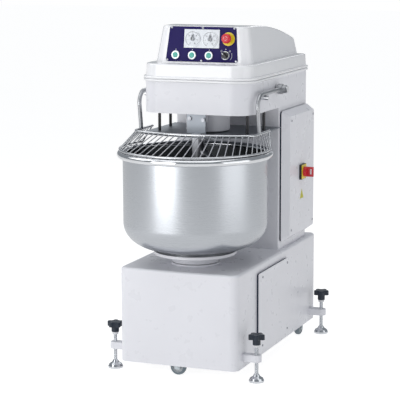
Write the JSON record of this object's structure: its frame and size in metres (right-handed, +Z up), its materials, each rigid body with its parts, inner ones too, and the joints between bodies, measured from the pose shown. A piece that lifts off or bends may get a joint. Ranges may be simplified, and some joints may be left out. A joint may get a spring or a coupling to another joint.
{
  "type": "spiral dough mixer",
  "caption": "Floor-standing spiral dough mixer with a rotating stainless bowl, wire bowl guard, overhanging drive head, side cabinet and levelling jacks.",
  "frame": {"origin": "on the floor, at the middle of the machine's width and depth", "axes": "+Z up, -Y towards the user at the front, +X to the user's right"},
  "size_m": [0.73, 1.202, 1.489],
  "materials": {
    "white_paint": "semi-gloss powder coat",
    "cover_white": "gloss moulded shell",
    "panel_blue": "satin",
    "timer_silver": "satin",
    "bezel_silver": "satin chrome",
    "button_green": "translucent",
    "black_plastic": "matte",
    "estop_red": "gloss",
    "estop_yellow": "satin",
    "seal_rubber": "matte",
    "screw_steel": "satin",
    "stainless": "brushed",
    "bead_steel": "polished",
    "wire_chrome": "polished",
    "dark_steel": "satin",
    "machine_steel": "machined",
    "belt_rubber": "matte",
    "motor_grey": "satin",
    "jack_chrome": "polished",
    "caster_tread": "matte",
    "caster_zinc": "zinc plate",
    "electrics_grey": "matte"
  },
  "bodies": {
    "root": {"base_frame": "white_paint", "column_frame": "white_paint", "head_frame": "white_paint", "head_cover": "cover_white", "control_panel": "panel_blue", "timer_plate": "timer_silver", "operator_bezels": "bezel_silver", "estop_collar": "estop_yellow", "cabinet_cover": "white_paint", "base_side_plate": "white_paint", "panel_gaskets": "seal_rubber", "cover_screws": "screw_steel", "isolator_base": "black_plastic", "isolator_plate": "estop_yellow", "electrics_panel": "electrics_grey", "base_cross_members": "white_paint", "bowl_bearing_housing": "white_paint", "bowl_belt": "belt_rubber", "bowl_motor": "motor_grey", "shaft_bearings": "screw_steel", "spiral_housing": "white_paint", "spiral_belt": "belt_rubber", "spiral_motor": "motor_grey", "breaker_bar": "stainless", "breaker_bracket": "stainless", "breaker_bolts": "screw_steel", "cover_plate": "stainless", "cover_plate_posts": "dark_steel", "guard_pins": "wire_chrome", "jack_brackets": "white_paint", "caster_mounts": "caster_zinc"},
    "bowl": {"bowl_wall": "stainless", "bowl_bottom": "stainless", "bowl_flange": "white_paint", "bowl_flange_bolts": "screw_steel", "bowl_shaft": "white_paint", "bowl_pulley": "machine_steel"},
    "bowl_rotor": {"bowl_motor_rotor": "machine_steel"},
    "spiral": {"spiral_hook": "stainless", "spiral_pulley": "machine_steel"},
    "spiral_rotor": {"spiral_motor_rotor": "machine_steel"},
    "guard": {"guard_grid": "wire_chrome", "guard_arms": "wire_chrome"},
    "timer_left": {"timer_knob_left": "black_plastic"},
    "timer_right": {"timer_knob_right": "black_plastic"},
    "estop_plunger": {"estop_stem": "black_plastic"},
    "estop_mushroom": {"estop_head": "estop_red"},
    "start_left": {"start_button_left": "button_green"},
    "start_middle": {"start_button_middle": "button_green"},
    "start_right": {"start_button_right": "button_green"},
    "selector": {"selector_knob": "black_plastic"},
    "isolator": {"isolator_handle": "estop_red"},
    "jack_front_left": {"front_left_jack": "jack_chrome"},
    "jack_front_right": {"front_right_jack": "jack_chrome"},
    "jack_rear_left": {"rear_left_jack": "jack_chrome"},
    "jack_rear_right": {"rear_right_jack": "jack_chrome"},
    "caster_fork": {"front_caster_fork": "caster_zinc"},
    "caster_wheel": {"front_caster_wheel": "caster_tread"},
    "wheel_left": {"rear_wheel_left": "caster_tread"},
    "wheel_right": {"rear_wheel_right": "caster_tread"}
  },
  "joints": [
    {"name": "bowl_spin", "type": "hinge", "parent": "root", "child": "bowl", "pos_m": [0, -0.264, 0.5], "axis": [0, 0, 1], "continuous": true},
    {"name": "bowl_motor_spin", "type": "hinge", "parent": "root", "child": "bowl_rotor", "pos_m": [0, 0.23, 0.28], "axis": [0, 0, 1], "continuous": true},
    {"name": "spiral_spin", "type": "hinge", "parent": "root", "child": "spiral", "pos_m": [0, -0.109, 1.1], "axis": [0, 0, 1], "continuous": true},
    {"name": "spiral_motor_spin", "type": "hinge", "parent": "root", "child": "spiral_rotor", "pos_m": [0, 0.32, 1.2], "axis": [0, 0, 1], "continuous": true},
    {"name": "guard_tilt", "type": "hinge", "parent": "root", "child": "guard", "pos_m": [0, 0.069, 1.206], "axis": [-1, 0, 0], "range_deg": [0, 60]},
    {"name": "timer_left_turn", "type": "hinge", "parent": "root", "child": "timer_left", "pos_m": [-0.044, -0.17185, 1.43377], "axis": [0, 0.9897, -0.1432], "range_deg": [0, 300]},
    {"name": "timer_right_turn", "type": "hinge", "parent": "root", "child": "timer_right", "pos_m": [0.037, -0.17199, 1.43278], "axis": [0, 0.9897, -0.1432], "range_deg": [0, 300]},
    {"name": "estop_push", "type": "slide", "parent": "root", "child": "estop_plunger", "axis": [0, 0.9897, -0.1432], "range_m": [0, 0.004]},
    {"name": "estop_twist", "type": "hinge", "parent": "estop_plunger", "child": "estop_mushroom", "pos_m": [0.12, -0.20111, 1.44104], "axis": [0, 0.9897, -0.1432], "range_deg": [0, 45], "stiffness_Nm_per_rad": 0.05},
    {"name": "start_left_push", "type": "slide", "parent": "root", "child": "start_left", "axis": [0, 0.9897, -0.1432], "range_m": [0, 0.003], "stiffness_N_per_m": 500},
    {"name": "start_middle_push", "type": "slide", "parent": "root", "child": "start_middle", "axis": [0, 0.9897, -0.1432], "range_m": [0, 0.003], "stiffness_N_per_m": 500},
    {"name": "start_right_push", "type": "slide", "parent": "root", "child": "start_right", "axis": [0, 0.9897, -0.1432], "range_m": [0, 0.003], "stiffness_N_per_m": 500},
    {"name": "selector_turn", "type": "hinge", "parent": "root", "child": "selector", "pos_m": [0.11, -0.18159, 1.36647], "axis": [0, 0.9897, -0.1432], "range_deg": [0, 90]},
    {"name": "isolator_turn", "type": "hinge", "parent": "root", "child": "isolator", "pos_m": [0.303, 0.327, 0.804], "axis": [1, 0, 0], "range_deg": [0, 90]},
    {"name": "jack_front_left_screw", "type": "slide", "parent": "root", "child": "jack_front_left", "axis": [0, 0, 1], "range_m": [-0.03, 0.045]},
    {"name": "jack_front_right_screw", "type": "slide", "parent": "root", "child": "jack_front_right", "axis": [0, 0, 1], "range_m": [-0.03, 0.045]},
    {"name": "jack_rear_left_screw", "type": "slide", "parent": "root", "child": "jack_rear_left", "axis": [0, 0, 1], "range_m": [-0.03, 0.045]},
    {"name": "jack_rear_right_screw", "type": "slide", "parent": "root", "child": "jack_rear_right", "axis": [0, 0, 1], "range_m": [-0.03, 0.045]},
    {"name": "caster_swivel", "type": "hinge", "parent": "root", "child": "caster_fork", "pos_m": [0, -0.404, 0.086], "axis": [0, 0, 1], "continuous": true},
    {"name": "caster_wheel_spin", "type": "hinge", "parent": "caster_fork", "child": "caster_wheel", "pos_m": [-0.024, -0.404, 0.036], "axis": [0, 1, 0], "continuous": true},
    {"name": "wheel_left_spin", "type": "hinge", "parent": "root", "child": "wheel_left", "pos_m": [-0.238, 0.457, 0.036], "axis": [1, 0, 0], "continuous": true},
    {"name": "wheel_right_spin", "type": "hinge", "parent": "root", "child": "wheel_right", "pos_m": [0.238, 0.457, 0.036], "axis": [1, 0, 0], "continuous": true}
  ],
  "couplings": [
    {"joint": "bowl_motor_spin", "follows": "bowl_spin", "ratio": 3.1107},
    {"joint": "spiral_motor_spin", "follows": "spiral_spin", "ratio": 3.1107}
  ]
}
